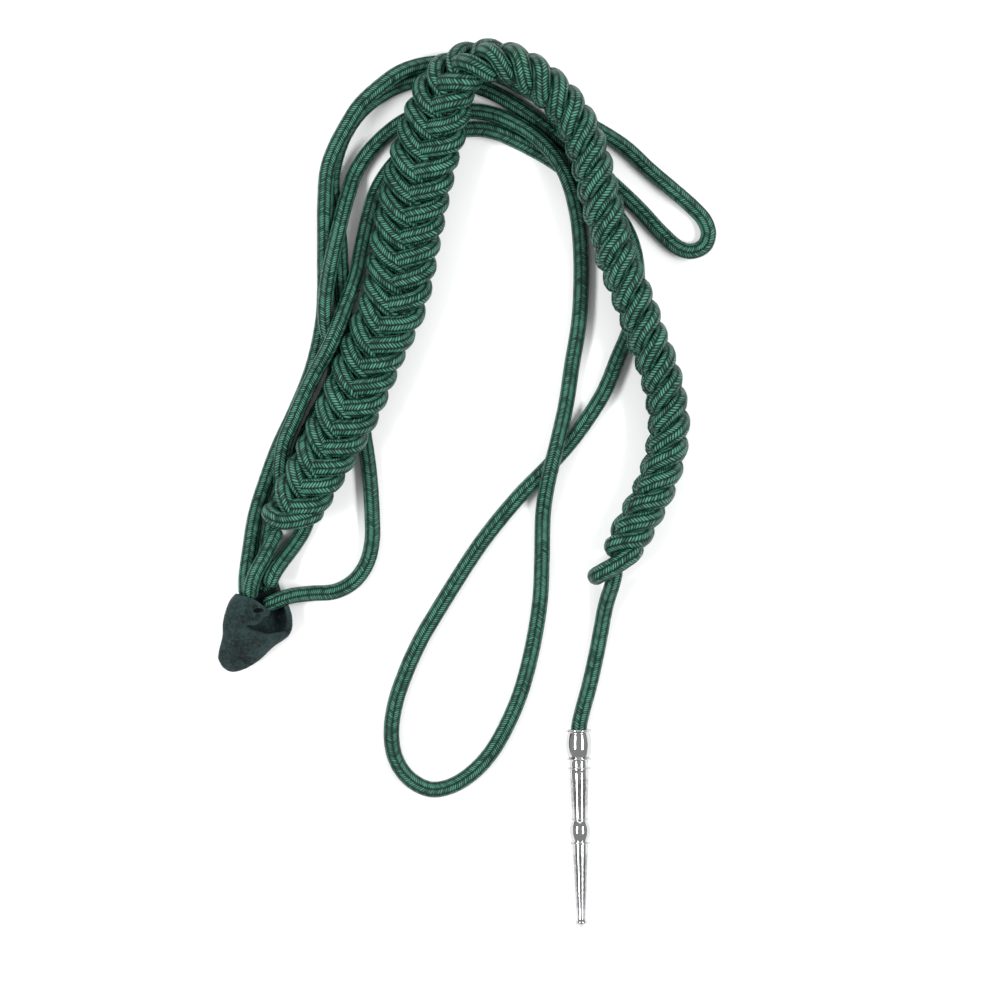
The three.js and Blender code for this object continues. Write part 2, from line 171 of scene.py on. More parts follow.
class Recipe:
    # Short words for laying out a material's nodes
    def __init__(self, name):
        self.material = bpy.data.materials.new(name)
        self.material.use_nodes = True
        self.tree = self.material.node_tree
        self.shader = self.tree.nodes["Principled BSDF"]

    def node(self, kind, **settings):
        made = self.tree.nodes.new(kind)
        for key, value in settings.items():
            setattr(made, key, value)
        return made

    def feed(self, value, socket):
        if isinstance(value, bpy.types.NodeSocket):
            self.tree.links.new(value, socket)
        else:
            socket.default_value = value

    def maths(self, operation, *values):
        made = self.node("ShaderNodeMath", operation=operation)
        for value, socket in zip(values, made.inputs):
            self.feed(value, socket)
        return made.outputs[0]

    def ramp(self, share, stops):
        made = self.node("ShaderNodeValToRGB")
        while len(made.color_ramp.elements) < len(stops):
            made.color_ramp.elements.new(0.5)
        for element, (place, colour) in zip(made.color_ramp.elements, stops):
            element.position, element.color = place, (*colour, 1)
        self.feed(share, made.inputs[0])
        return made.outputs[0]

    def bump(self, height, distance, strength=1.0, under=None):
        made = self.node("ShaderNodeBump")
        made.inputs["Distance"].default_value = distance
        made.inputs["Strength"].default_value = strength
        self.feed(height, made.inputs["Height"])
        if under is not None:
            self.feed(under, made.inputs["Normal"])
        return made.outputs["Normal"]


# Braid of all the cords
braid = {
    "columns": 8.0,  # columns of stitches round the cord
    "stitch": 0.88,  # millimetres along for each stitch
    "slant": 1.4,  # how far a stitch leans over one column, in stitches
    # colours by tone: painted shade deep in the gaps and seams, the thread's middle colour, a painted
    # highlight on the crests
    "deep": (0.0005, 0.0032, 0.0023),
    "middle": (0.0058, 0.029, 0.0205),
    "paintedHighlight": (0.057, 0.19, 0.132),
    "middleAt": 0.4,  # tones at which the middle colour and the painted highlight are reached
    "paintedHighlightAt": 0.9,
    "ridgePower": 0.8,  # how round a stitch is along and across, in height
    "seamPower": 0.7,
    "seamShadePower": 0.75,  # and across, in tone: how fast the painted shade deepens toward the seams
    "stitchShare": 0.6,  # how much the tone changes at random from stitch to stitch, and in patches of painted shine
    "paintedShineShare": 0.8,
    "leastTone": 0.25,
    "paintedShineScale": 260.0,
    "paintedShineDetail": 2.0,
    "relief": 0.0003,
    "roughness": 0.4,
    "specular": 0.12,
}


def braidMaterial():
    # Columns of leaning stitches, every other column leaning the other way, like ears of wheat; the colour
    # carries painted shade in the gaps and seams and a painted highlight on the crests
    r = Recipe("braidedCord")
    where = r.node("ShaderNodeUVMap", uv_map="weave").outputs[0]
    parts = r.node("ShaderNodeSeparateXYZ")
    r.feed(where, parts.inputs[0])
    around = r.maths("MULTIPLY", parts.outputs[0], braid["columns"])
    column = r.maths("FLOOR", around)
    across = r.maths("FRACT", around)
    lean = r.maths("MULTIPLY_ADD", r.maths("MODULO", column, 2.0), -2.0, 1.0)
    offset = r.maths("MULTIPLY", r.maths("SUBTRACT", across, 0.5), r.maths("MULTIPLY", lean, braid["slant"]))
    along = r.maths("ADD", r.maths("DIVIDE", parts.outputs[1], braid["stitch"]), offset)
    stitch = r.maths("FRACT", along)
    ridge = r.maths("MULTIPLY", r.maths("MULTIPLY", stitch, r.maths("SUBTRACT", 1.0, stitch)), 4.0)
    seam = r.maths("MULTIPLY", r.maths("MULTIPLY", across, r.maths("SUBTRACT", 1.0, across)), 4.0)
    rounded = r.maths("POWER", ridge, braid["ridgePower"])
    height = r.maths("MULTIPLY", rounded, r.maths("POWER", seam, braid["seamPower"]))
    number = r.node("ShaderNodeCombineXYZ")
    r.feed(column, number.inputs[0])
    r.feed(r.maths("FLOOR", along), number.inputs[1])
    chance = r.node("ShaderNodeTexWhiteNoise", noise_dimensions="3D")
    r.feed(number.outputs[0], chance.inputs["Vector"])
    # Patches of painted shine: soft noise that brightens and dims the painted highlight and shade
    paintedShinePatches = r.node("ShaderNodeTexNoise")
    paintedShinePatches.inputs["Scale"].default_value = braid["paintedShineScale"]
    paintedShinePatches.inputs["Detail"].default_value = braid["paintedShineDetail"]
    r.feed(r.node("ShaderNodeTexCoord").outputs["Object"], paintedShinePatches.inputs["Vector"])
    paintedShine = r.maths("MULTIPLY_ADD", paintedShinePatches.outputs[0], braid["paintedShineShare"], braid["leastTone"])
    randomToneAndPaintedShine = r.maths("MULTIPLY_ADD", chance.outputs["Value"], braid["stitchShare"], paintedShine)
    # Tone from the stitch's relief: painted shade in the gaps and toward the seams, painted highlight on the
    # crests
    even = r.maths("MULTIPLY", ridge, r.maths("POWER", seam, braid["seamShadePower"]))
    stops = [(0.0, braid["deep"]), (braid["middleAt"], braid["middle"]), (braid["paintedHighlightAt"], braid["paintedHighlight"])]
    r.feed(r.ramp(r.maths("MULTIPLY", even, randomToneAndPaintedShine), stops), r.shader.inputs["Base Color"])
    r.shader.inputs["Roughness"].default_value = braid["roughness"]
    r.shader.inputs["Specular IOR Level"].default_value = braid["specular"]
    r.feed(r.bump(height, braid["relief"]), r.shader.inputs["Normal"])
    return r.material


cordLook = braidMaterial()

# Metal tip: a turned profile, millimetres from the flange's face and from the axis
tip = {
    "bore": 3.5,
    "depth": 6.0,
    "sides": 96,
    "start": (47.6, -91.8),  # middle of the flange's face, on the floor
    "heading": (1.06, -75.0),  # the way the point lies from there
    "flange": 4.93,
    "ring": (43.1, 3.7),  # distance and radius of the second waist ring
    "rimPower": 0.6,  # these make rims and barrels fuller than an ellipse and a sine wave
    "bellyPower": 0.85,
}


def disc(at, thick, inner, outer):
    # A thin disc with a rounded rim: half an ellipse with fuller shoulders
    a = np.linspace(0, np.pi, 11)
    swell = np.sin(a) ** tip["rimPower"]
    return np.column_stack([at - thick / 2 * np.cos(a), inner + (outer - inner) * swell])


def belly(start, end, edge, most):
    # A barrel: half a sine wave, a little fuller, over a straight line
    t = np.linspace(0, 1, 21)
    swell = np.sin(np.pi * t) ** tip["bellyPower"]
    return np.column_stack([start + (end - start) * t, edge + (most - edge) * swell])


def taper(start, end, first, last):
    t = np.linspace(0, 1, 6)
    return np.column_stack([start + (end - start) * t, first + (last - first) * t])


plating = {
    "bright": (0.46, 0.465, 0.47),
    "dull": (0.25, 0.254, 0.26),
    "brightUpTo": 0.36,  # grain below this is bright, and above the next one dull
    "dullFrom": 0.54,
    "grainScale": 900.0,
    "grainDetail": 3.0,
    "dullRuns": ((15.5, 33.0), (44.0, 71.0)),  # where the tapers are dulled, millimetres from the flange
    "fade": 4.0,
    "roughness": 0.06,
    "relief": 0.000025,
    "reliefStrength": 0.6,
}


def turnedMaterial():
    # Bright all over, with dull specks along the tapers
    r = Recipe("brightPlating")
    parts = r.node("ShaderNodeSeparateXYZ")
    r.feed(r.node("ShaderNodeUVMap", uv_map="weave").outputs[0], parts.inputs[0])
    grain = r.node("ShaderNodeTexNoise")
    grain.inputs["Scale"].default_value = plating["grainScale"]
    grain.inputs["Detail"].default_value = plating["grainDetail"]
    r.feed(r.node("ShaderNodeTexCoord").outputs["Object"], grain.inputs["Vector"])
    along = parts.outputs[1]
    dulled = 0.0
    for begin, end in plating["dullRuns"]:
        depth = r.maths("MINIMUM", r.maths("SUBTRACT", along, begin), r.maths("SUBTRACT", end, along))
        faded = r.maths("MINIMUM", r.maths("DIVIDE", depth, plating["fade"]), 1.0)
        dulled = r.maths("MAXIMUM", faded, dulled)
    speck = r.maths("MULTIPLY", grain.outputs[0], dulled)
    stops = [(plating["brightUpTo"], plating["bright"]), (plating["dullFrom"], plating["dull"])]
    r.feed(r.ramp(speck, stops), r.shader.inputs["Base Color"])
    r.feed(r.bump(grain.outputs[0], plating["relief"], plating["reliefStrength"]), r.shader.inputs["Normal"])
    r.shader.inputs["Metallic"].default_value = 1.0
    r.shader.inputs["Roughness"].default_value = plating["roughness"]
    return r.material


def turnTip():
    # The profile turned about its axis, laid on the floor on its flange and on its second waist ring:
    # the axis falls by their difference in radius over their distance.
    tilt = np.arctan2(tip["flange"] - tip["ring"][1], tip["ring"][0])
    bore, depth = tip["bore"], tip["depth"]
    profile = np.vstack([
        [[depth, 0.001], [depth, bore - 0.1], [depth - 0.1, bore], [0.15, bore]],
        disc(0.5, 1.0, 3.6, tip["flange"])[1:-1],
        belly(1.1, 10.7, 3.9, 4.68),
        disc(11.2, 0.8, 3.5, 4.5),
        taper(11.7, 14.2, 3.4, 3.4),
        disc(14.7, 0.8, 3.45, 4.3),
        taper(15.2, 33.7, 3.55, 2.8),
        disc(34.1, 0.7, 2.8, 3.3),
        belly(34.6, 42.6, 2.75, 3.8),
        disc(tip["ring"][0], 0.9, 2.8, tip["ring"][1]),
        taper(43.7, 71.4, 2.88, 1.6),
        [[72.2, 1.75], [72.9, 2.1], [73.2, 2.15], [73.5, 2.0], [74.3, 1.0], [74.9, 0.25], [75.0, 0.001]],
    ])
    level = np.array([*tip["heading"], 0.0]) / np.hypot(*tip["heading"])
    nose = level * np.cos(tilt) - np.array([0, 0, np.sin(tilt)])
    side = np.cross(nose, [0, 0, 1.0])
    side /= np.linalg.norm(side)
    over = np.cross(side, nose)
    start = np.array([*tip["start"], 0.0]) + routeShift + [0, 0, tip["flange"] * np.cos(tilt) + floorGap]
    angle = np.linspace(0, 2 * np.pi, tip["sides"], endpoint=False)
    spoke = np.cos(angle)[:, None] * side + np.sin(angle)[:, None] * over
    skin = start + profile[:, None, :1] * nose + profile[:, None, 1:] * spoke
    points, faces, uv = closedSkin(skin, profile[:, 0])
    return makePiece("metalTip", points, faces, turnedMaterial(), uv)


metalTip = turnTip()
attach(metalTip, "root")
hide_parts("metal_tip")
print("tip turned")

# Plain cords: the routes of the part's source, x, y and height in millimetres
smallLoopRoute = [
    [-78, -42.4, 5.6], [-78.3, -35.2, 5.3], [-76.9, -23.9, 3.1], [-74.7, -10.6, 3.1], [-70.3, 3.4, 3.1],
    [-65.8, 15.5, 3.1], [-60.1, 27.7, 3.1], [-54, 42.4, 3.1], [-51, 53.1, 3.1], [-49.1, 64.1, 3.1],
    [-48.5, 75, 3.1], [-48.5, 85.3, 4.7], [-48.5, 94.8, 6.4], [-48.4, 106.9, 8.7], [-47.4, 120.1, 9.5],
    [-44.6, 128.2, 9.5], [-40.4, 136.2, 9.5], [-35.4, 144.1, 9.5], [-27.8, 151.3, 9.3], [-20.4, 156.7, 7.7],
    [-12.1, 159.7, 4.9], [-2.7, 160.6, 3.1], [9.5, 158.6, 3.1], [20.8, 154.4, 3.1], [33, 147.6, 3.1],
    [48.1, 139.1, 3.1], [64.5, 129.1, 3.1], [74.7, 119.8, 3.1], [90.6, 106.1, 3.1], [95.3, 100.8, 3.1],
    [96.8, 95.9, 3.1], [95.1, 91.3, 3.1], [90.6, 89.3, 3.1], [85.7, 90.4, 3.1], [79.2, 95.9, 3.1],
    [69.9, 105.9, 3.1], [55.7, 119, 3.1], [41.7, 130.8, 3.1], [31.1, 139.5, 3.1], [17.8, 148, 3.1],
    [9.5, 151.6, 3.1], [0.8, 154.1, 3.1], [-8.7, 154.4, 3.1], [-18.4, 152.7, 3.1], [-27.4, 148.4, 3.1],
    [-35.1, 142.1, 3.1], [-41.1, 133.4, 3.1], [-44.5, 123.9, 3.1], [-45.9, 114.5, 3.1], [-44.5, 104.2, 3.1],
    [-43, 93.6, 3.1], [-42.3, 80.3, 3.1], [-41.1, 65.2, 3.1], [-38.5, 48.9, 3.1], [-35.2, 28.4, 3.1],
    [-31.8, 6.4, 3.1], [-30.6, -10.6, 3.1], [-30.7, -21.2, 3.1], [-33, -29.6, 3.1], [-37.9, -36, 3.1],
    [-44.7, -39.6, 3.1], [-53.4, -40.3, 3.7], [-61.4, -41.3, 6.7], [-66.7, -43, 9.1], [-71.8, -45.5, 8.6],
]
bigLoopRoute = [
    [-71.8, -39.8, 5.3], [-71.7, -36.1, 5.2], [-71.2, -27.7, 3.2], [-69.1, -15.5, 3.1], [-66.4, -4.9, 3.1],
    [-65, -0.5, 3.4], [-65.1, 3.2, 6.3], [-65.2, 7.2, 8.4], [-63.7, 17.1, 9.2], [-59.9, 26.2, 9.3],
    [-55.7, 36, 9.4], [-51.7, 44, 9.8], [-48.5, 49.6, 12.6], [-45.7, 55.3, 14.5], [-43.2, 61.4, 13.7],
    [-41.3, 66.7, 11],
    [-38.8, 73.1, 9.2], [-36.1, 81.9, 5.1], [-34.9, 88.7, 3.1], [-31.5, 103.8, 3.1], [-29, 111.8, 3.1],
    [-25.5, 118.1, 3.1], [-20.8, 123.9, 3.1], [-15.2, 128.5, 3.1], [-7.2, 132.7, 3.1], [1.5, 134.9, 3.1],
    [10, 135.6, 3.1], [16.8, 134.2, 3.1], [23.2, 131.5, 3.1], [35.7, 124.9, 3.1], [42.8, 120.1, 3.1],
    [49.3, 115.2, 3.1], [55.3, 109.7, 3.1], [60.6, 104.6, 3.1], [64.6, 99.3, 3.1], [67.7, 92.5, 3.1],
    [69.5, 84.1, 3.1], [69.4, 69.7, 3.1], [66.9, 59.5, 3.1], [62.5, 48.9, 3.1], [57.6, 36.8, 3.1],
    [51.9, 27.3, 3.1], [44.7, 17.4, 3.1], [36, 7.6, 3.1], [26.2, -2.3, 3.1], [17.1, -12.9, 3.1],
    [9.1, -23.5, 3.1], [-6.1, -47.4, 3.1], [-12.5, -58.4, 3.1], [-17.8, -70.1, 3.1], [-21.8, -81.9, 3.1],
    [-23.3, -92.9, 3.1], [-21.8, -102.7, 3.1], [-16.7, -110.3, 3.1], [-8.7, -114.5, 3.1], [-0.8, -113.3, 3.1],
    [7.2, -108.4, 3.1], [14, -101.2, 3.1], [19.7, -91.7, 3.1], [25.4, -78.5, 3.1], [29.9, -61.8, 3.1],
    [33, -42.8, 3.1], [33.7, -27.7, 3.1], [34.1, -10.6, 3.3], [35.4, -0.8, 7], [37.5, 8.7, 9.7],
    [40, 18.6, 8.5], [42.8, 31.1, 3.6], [45.1, 46.2, 3.1], [47.6, 61.4, 3.1], [48.5, 74.7, 3.1],
    [48.5, 87.9, 3.1], [47.6, 99.7, 3.1], [45.9, 108.8, 3.6], [44.2, 114.5, 8], [42.1, 119.6, 9.6],
    [39, 124.7, 9.7], [35.1, 129.2, 9.4], [29.9, 133.8, 7.7], [23.1, 137.9, 5.8], [15.5, 141.1, 3.2],
    [8, 142.4, 3.1], [-1.1, 142.7, 3.1], [-11, 141.6, 3.1], [-18.9, 138.3, 3.1], [-27.3, 131.7, 3.1],
    [-33.4, 124.9, 3.1], [-37.5, 117.9, 3.1], [-39.8, 110.7, 6.2], [-41.6, 104.2, 9.2], [-43.4, 96.6, 10.6],
    [-46, 85.3, 10.9], [-47.8, 74.7, 9.7], [-48.3, 65.2, 9.6], [-47.6, 59.1, 9.1], [-45.7, 53.8, 6.7],
    [-44.6, 48.5, 3.6], [-44.9, 42.4, 3.1], [-48.1, 34.1, 3.1], [-52.7, 25.4, 3.1], [-56.5, 17.1, 3.1],
    [-58.7, 9.5, 3.1], [-58.9, 3.4, 3.1], [-57.4, -1.9, 3.1], [-55.5, -7.2, 3.1], [-55.2, -11.5, 3.1],
    [-56.8, -16.6, 3.1], [-60.6, -22.6, 3.7], [-64.8, -28.2, 6.9], [-68, -33.2, 10.4], [-69.8, -38.2, 11.4],
]
startCordRoute = [
    [-76.4, -42.7, 11.4], [-76.4, -38.9, 11.4], [-75, -33.6, 11.1], [-71.6, -27.2, 9.8],
    [-68.5, -21.2, 9.5], [-65.9, -15.4, 9.6],
]
tipCordRoute = [
    [61.9, -30, 12.5], [60.4, -36.5, 10.8], [58.6, -42.2, 6.8], [57.3, -47.5, 4], [56.4, -52.5, 3.1],
    [54.4, -63, 3.1], [51.6, -75.5, 3.1], [49.2, -84.2, 4], [47.8, -90.5, 4.9], [47.7, -96.6, 4.8],
]
cordSize = {"radius": 3.0, "sides": 18, "step": 1.0}


def skinCord(name, route):
    # One plain cord laid on its route, no lower than the floor allows
    line, run = smoothLine(np.array(route, float) + routeShift, cordSize["step"])
    line[:, 2] = np.maximum(line[:, 2], cordSize["radius"] + floorGap)
    points, faces, uv = closedSkin(roundSkin(line, cordSize["radius"], cordSize["sides"]), run)
    return makePiece(name, points, faces, cordLook, uv), line, run


def layCord(name, route, node):
    # A soft cord, laid as found; its length is printed
    piece, line, run = skinCord(name, route)
    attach(piece, "root")
    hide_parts(node)
    print(name, "is", round(run[-1]), "mm long")


layCord("smallLoopCord", smallLoopRoute, "small_loop_cord")
layCord("bigLoopCord", bigLoopRoute, "big_loop_cord")
layCord("tipCord", tipCordRoute, "tip_cord")
startCord = skinCord("startCord", startCordRoute)[0]
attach(startCord, "root")
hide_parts("plait_start_cord")
print("plain cords laid")

# Chain: sizes in millimetres
chain = {
    "width": 25.0,
    "thickness": 15.0,
    "pitch": 8.5,
    "cord": 5.8,  # the cord's thickness in the solids, which sets how far a strand's middle reaches
    "radius": 3.4,  # the strand's radius here
    "sides": 16,
    "step": 1.0,
    "middleStep": 0.5,
    "lift": 6.3,  # millimetres that the chain is raised by the cords under it
    "heart": (0.72, 0.62),  # the oval inside it, in shares of the reach across and to the front
    "heartStep": 0.5,  # in stitches
}
acrossReach = (chain["width"] - chain["cord"]) / 2
frontReach = (chain["thickness"] - chain["cord"]) / 2

# Its middle: x, y, roll of its front to the left of the way it runs, share of the width, share of the lift
chainTable = np.array([
    [-62.3, -13, 22, 0.81, 1.1], [-53.2, 3.2, 22, 0.82, 1.2], [-46.2, 16.1, 22, 0.9, 1],
    [-38.3, 31.8, 22, 0.95, 1], [-29.2, 53.8, 22, 0.97, 1], [-22.2, 69.7, 22, 1.02, 1],
    [-17.7, 93.6, 22, 1.08, 1], [-13.8, 112.6, 22, 1.08, 1], [-9.9, 127.7, 24, 1.06, 1],
    [-6.3, 138.7, 28, 1.05, 1], [-3, 149.5, 42, 1, 1], [3.5, 157.2, 62, 0.97, 1],
    [12.2, 160.5, 78, 0.95, 1], [20.8, 159.8, 86, 0.97, 1], [28.8, 156, 90, 1, 1],
    [35.2, 151.2, 90, 1, 1], [41.3, 145, 90, 1, 1], [45.9, 138.3, 90, 1, 1],
    [49.3, 131.1, 90, 1, 1], [51.7, 123.9, 90, 1, 1], [55.5, 108.8, 90, 1, 1],
    [58.7, 97.4, 90, 1, 1], [61.4, 87.2, 90, 1, 1], [65, 78.1, 90, 1, 1],
    [69.7, 66.3, 90, 0.98, 1], [73.5, 55.3, 90, 0.96, 1], [76.6, 47.4, 90, 0.94, 0.75],
    [79.2, 38.7, 90, 0.92, 0.35], [80.9, 29.9, 90, 0.9, 0.1], [81.5, 21.6, 90, 0.9, 0],
    [80.3, 13.3, 90, 0.9, 0], [77.7, 3.8, 90, 0.9, 0], [74.5, -3.8, 90, 0.9, 0],
    [70.8, -10.7, 90, 0.9, 0], [67, -17.8, 90, 0.9, 0], [62.9, -24.6, 90, 0.9, 0],
])

# Stitch: shares across the width, toward the front and along in pitches, from its base round to the next one
leftHalf = [
    [0.1, -0.3, -0.2], [0.12, 0.6, -0.05], [-0.25, 1.05, 0.15], [-0.65, 1.02, 0.48], [-0.95, 0.62, 0.8],
    [-1.02, -0.1, 1.1], [-0.8, -0.7, 1.35], [-0.35, -0.5, 1.5],
]
rightHalf = [
    [0.35, -0.5, 1.5], [0.8, -0.7, 1.35], [1.02, -0.1, 1.0], [0.98, 0.6, 0.7], [0.68, 0.98, 0.45],
    [0.22, 0.95, 0.22], [-0.15, 0.45, 0.0], [-0.1, -0.3, -0.2],
]
stitchRows = np.array([*leftHalf, [0, -0.1, 1.5], *rightHalf, [0, -1.0, 0.5]])
lastRows = np.array([
    [-0.28, -0.35, -0.05], [-0.3, 0.9, 0.0], [-0.8, 1.0, 0.25], [-1.0, 0.75, 0.6], [-1.0, 0.3, 1.1],
    [-0.8, -0.3, 1.65], [-0.35, -0.55, 1.9], [0.35, -0.55, 1.9], [0.8, -0.3, 1.65], [1.0, 0.3, 1.1],
    [1.0, 0.75, 0.6], [0.8, 1.0, 0.25], [0.3, 0.6, 0.0], [0.28, -0.35, -0.05],
])
firstRows = np.array([
    [0.3, -0.2, 0.7], [0.85, -0.5, 0.95], [1.0, 0.1, 0.8], [0.65, 0.85, 0.3], [0, 1.0, -0.1],
    [-0.65, 0.85, -0.15], [-1.0, 0.2, 0.0], [-0.85, -0.6, 0.4], [-0.3, -0.9, 0.7],
])
# Where a stitch reaches out farthest: shares across the width and toward the front
farRows = np.array([
    [-0.42, 0.95], [-1, 0.65], [-1, -0.3], [-0.3, -0.9], [0.42, 0.95], [1, 0.65], [1, -0.3], [0.3, -0.9],
])


def restHeight(roll, widthShare):
    # How high the chain's middle lies when its front is rolled to one side: the farthest that the middle of
    # a strand reaches down, and half the cord's thickness
    byFront = -np.cos(roll)[:, None] * farRows[:, 1] * frontReach
    byWidth = np.sin(roll)[:, None] * farRows[:, 0] * acrossReach * widthShare[:, None]
    return chain["cord"] / 2 + (byFront - byWidth).max(axis=1)


def chainPoints(rows, stitches):
    # Each row's place in the chain: middle line at its distance, plus its share of the half width across
    # and of the half thickness toward the front, both turned by the roll there.
    x, y, degrees, width, lift = chainTable.T
    roll = np.radians(degrees)
    middle = np.column_stack([x, y, restHeight(roll, width) + lift * chain["lift"]]) + routeShift
    line, run = smoothLine(np.column_stack([middle, roll, width]), chain["middleStep"])
    pitch = run[-1] / round(run[-1] / chain["pitch"])
    distance = (np.asarray(stitches)[:, None] + rows[None, :, 2]) * pitch
    inside = np.clip(distance, 0, run[-1])
    at = np.stack([np.interp(inside, run, line[:, k]) for k in range(5)], -1)
    way = np.gradient(line[:, :3], run, axis=0)
    heading = np.stack([np.interp(inside, run, way[:, k]) for k in range(3)], -1)
    heading /= np.linalg.norm(heading, axis=-1, keepdims=True)
    left = np.stack([-heading[..., 1], heading[..., 0], 0 * heading[..., 0]], -1)
    left /= np.linalg.norm(left, axis=-1, keepdims=True)
    up = np.array([0.0, 0.0, 1.0])
    cosRoll, sinRoll = np.cos(at[..., 3:4]), np.sin(at[..., 3:4])
    front, right = cosRoll * up + sinRoll * left, sinRoll * up - cosRoll * left
    points = at[..., :3] + heading * (distance - inside)[..., None]
    points = points + right * (rows[None, :, 0:1] * acrossReach * at[..., 4:5])
    points = points + front * (rows[None, :, 1:2] * frontReach)
    return points.reshape(-1, 3), int(round(run[-1] / pitch))


def crochetChain():
    # One strand through the first band, every stitch and the last loop, no lower than the floor allows
    count = chainPoints(stitchRows, [0.5])[1]
    head = chainPoints(firstRows, [0.0])[0]
    body = chainPoints(stitchRows, np.arange(count - 1) + 0.5)[0]
    tail = chainPoints(lastRows, [count - 0.5])[0]
    line, run = smoothLine(np.vstack([head, body, tail]), chain["step"])
    line[:, 2] = np.maximum(line[:, 2], chain["radius"] + floorGap)
    strand = closedSkin(roundSkin(line, chain["radius"], chain["sides"]), run)
    # The strands pressed on one another inside the chain: an oval run along its middle
    around = np.linspace(0, 2 * np.pi, chain["sides"], endpoint=False)
    wide, deep = chain["heart"]
    heartRows = np.column_stack([wide * np.cos(around), deep * np.sin(around), 0 * around])
    heartAt = np.arange(1.0, count, chain["heartStep"])
    heart = chainPoints(heartRows, heartAt)[0].reshape(len(heartAt), -1, 3)
    points, faces, uv = joined(strand, closedSkin(heart, heartAt * chain["pitch"]))
    print("chain of", count, "stitches from", round(run[-1]), "mm of cord")
    return makePiece("chainPlait", points, faces, cordLook, uv)


plait = crochetChain()
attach(plait, "root")
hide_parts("plait")
print("chain made")

# Felt tab: sizes in millimetres, the rest in shares of its width and length where nothing else is said
felt = {
    "corner": (-87.5, -70.0),  # lower left corner of its outline, in the routes' millimetres
    "width": 26.5,
    "length": 31.5,
    "height": 16.2,
    "wall": 1.8,
    "wallShare": 0.4,  # the wall's most, in shares of a ring's half width or half height
    "squareness": 0.7,
    "flatness": 1.06,
    "closeFrom": 0.93,  # share of the length where the round end begins
    "endWidth": 0.02,
    "endHeight": 0.35,
    "creaseAt": (0.1, 0.245),  # a place on the crease, in shares of the width and the length
    "creaseFall": 0.42,
    "creaseDepth": 0.9,
    "creaseWidth": 0.018,
    "creaseFade": (-0.02, 0.2),  # where it starts, and over what share of the width it deepens
    "waveHeight": 0.45,
    "waves": ((9, 5), (-3, 7)),  # turns in radians across and along, for each of two sets of waves
    "lip": 0.9,  # how far the top sinks at the mouth
    "lipWidth": 0.06,
    "entryAbove": 0.5,  # the entry is cut above this height over the wall underneath
    "mouthAbove": 9.0,  # heights above which the mouth and the slit are cut
    "slitAbove": 6.0,
    "reach": 0.018,  # how near a cut's rim has to be to be moved on to its outline
    "steepest": 0.4,  # the least upward share of the surface's direction that such a move reckons with
    "stations": 120,
    "sides": 250,
    "sharpAbove": 50.0,  # degrees
}
# Its rings: shares of its width and length from its corner to each side's point, and of its height
feltTable = np.array([
    [0.28, 1.01, 0.83, 1.11, 1], [0.11, 0.85, 0.95, 0.82, 1], [0.02, 0.62, 1.01, 0.63, 0.95],
    [0.01, 0.44, 0.97, 0.45, 0.78], [-0.04, 0.26, 0.74, 0.3, 0.6], [-0.05, 0.15, 0.52, 0.13, 0.42],
    [0.05, 0.0, 0.24, -0.01, 0.27],
])
# Outlines of what is cut away, in the same shares
entryEdge = smoothLine([
    [-0.1, 1.3], [-0.1, 0.97], [0.15, 0.95], [0.27, 0.925], [0.4, 0.89], [0.5, 0.845], [0.56, 0.81],
    [0.62, 0.775], [0.67, 0.745], [0.71, 0.7], [0.8, 0.69], [0.9, 0.77], [1.0, 0.83], [1.3, 0.94], [1.3, 1.4],
], 0.02)[0]
mouthEdge = smoothLine([
    [0.69, 0.74], [0.675, 0.68], [0.61, 0.66], [0.56, 0.605], [0.48, 0.565], [0.35, 0.56], [0.39, 0.5],
    [0.54, 0.455], [0.67, 0.43], [0.78, 0.44], [0.9, 0.455], [1.12, 0.47], [1.12, 0.86], [0.9, 0.79],
    [0.69, 0.74],
], 0.02)[0][:-1]
slitTurn = np.linspace(0, 2 * np.pi, 32, endpoint=False)
slitEdge = np.column_stack([0.53 + 0.08 * np.cos(slitTurn), 0.735 + 0.035 * np.sin(slitTurn)])


def insideOf(edge, across, along):
    # Counts the edges that a line to the right crosses: inside where the count is odd
    following = np.roll(edge, -1, axis=0)
    x, y = across[..., None], along[..., None]
    spans = (edge[:, 1] > y) != (following[:, 1] > y)
    rise = np.where(following[:, 1] == edge[:, 1], tiny, following[:, 1] - edge[:, 1])
    crossing = edge[:, 0] + (y - edge[:, 1]) / rise * (following[:, 0] - edge[:, 0])
    return (spans & (x < crossing)).sum(-1) % 2 == 1


def ontoEdge(edge, spots):
    # The nearest place on an outline for each spot, and how far off it is
    way = np.roll(edge, -1, axis=0) - edge
    share = np.clip(((spots[:, None] - edge) * way).sum(-1) / (way**2).sum(-1), 0, 1)
    nearest = edge + share[..., None] * way
    off = np.linalg.norm(spots[:, None] - nearest, axis=-1)
    best = off.argmin(axis=1)
    return nearest[np.arange(len(spots)), best], off.min(axis=1)


fleece = {
    "colour": (0.0018, 0.0048, 0.005),
    "light": (0.0155, 0.033, 0.033),
    "colourAt": 0.41,
    "lightAt": 0.59,
    "fibreScale": 800.0,
    "fibreDetail": 6.0,
    "fibreRoughness": 0.75,
    "fibreShare": 0.62,
    "fibreRelief": 0.00025,
    "fibreStrength": 0.8,
    "cloudScale": 160.0,
    "cloudDetail": 4.0,
    "cloudShare": 0.38,
    "cloudRelief": 0.0012,
    "cloudStrength": 0.5,
    "roughness": 0.95,
    "specular": 0.2,
    "sheen": 0.07,
    "sheenRoughness": 0.6,
    "sheenTint": (0.6, 0.75, 0.75),
}


